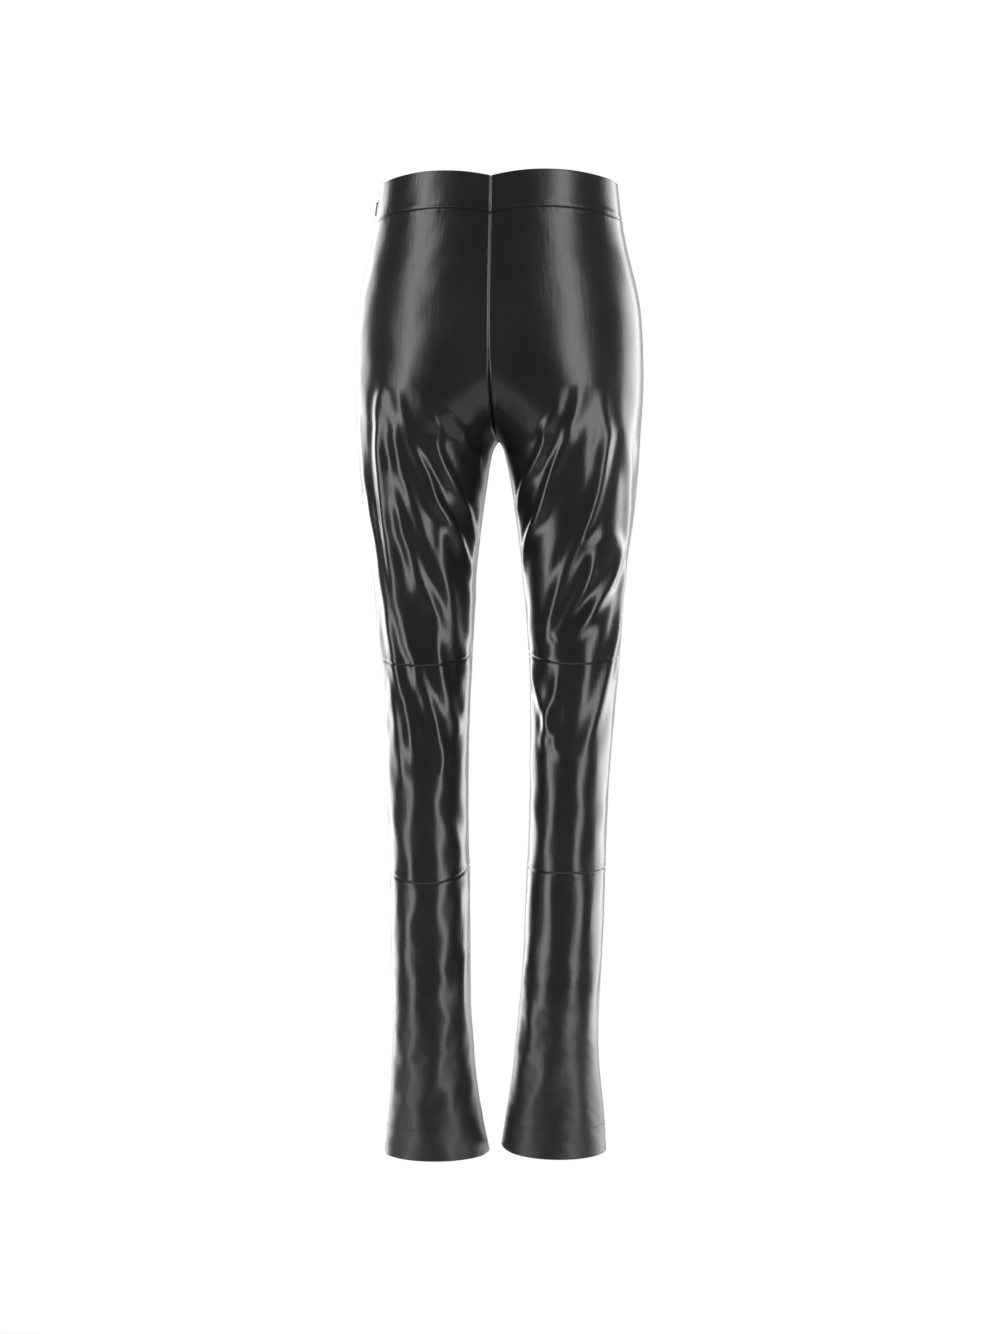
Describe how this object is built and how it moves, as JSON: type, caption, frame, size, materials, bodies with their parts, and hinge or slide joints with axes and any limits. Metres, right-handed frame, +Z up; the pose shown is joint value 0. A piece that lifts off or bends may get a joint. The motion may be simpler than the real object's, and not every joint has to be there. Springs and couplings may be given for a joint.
{
  "type": "leather trousers",
  "caption": "Long close-fitting high-waisted leather trousers, filled out as if worn, with cross seams at knee and calf, a side zip and turned-up hems.",
  "frame": {"origin": "centre of the waist's top, level with the side seams' upper ends", "axes": "+Z up along the legs towards the waist, the back faces +Y, the front faces -Y and the wearer's left is +X"},
  "size_m": [0.3264, 0.2228, 1.0974],
  "materials": {
    "leather": "glossy black coated leather",
    "zip_fabric": "matt woven tape",
    "zip_metal": "black enamelled metal"
  },
  "bodies": {
    "trousers": {"waistband_front": "leather", "waistband_back_left": "leather", "back_upper_leg_left": "leather", "back_mid_leg_left": "leather", "back_lower_leg_left": "leather", "front_upper_leg_left": "leather", "front_mid_leg_left": "leather", "front_lower_leg_left": "leather", "waistband_back_right": "leather", "back_upper_leg_right": "leather", "back_mid_leg_right": "leather", "back_lower_leg_right": "leather", "front_upper_leg_right": "leather", "front_mid_leg_right": "leather", "front_lower_leg_right": "leather", "zip_tape": "zip_fabric", "zip_slider": "zip_metal"},
    "zip_pull_tab": {"zip_pull": "zip_metal"}
  },
  "joints": [
    {"name": "pull_tab_swing", "type": "hinge", "parent": "trousers", "child": "zip_pull_tab", "pos_m": [0.13865, 0, -0.01774], "axis": [0, -1, 0], "range_deg": [0, 165]}
  ]
}
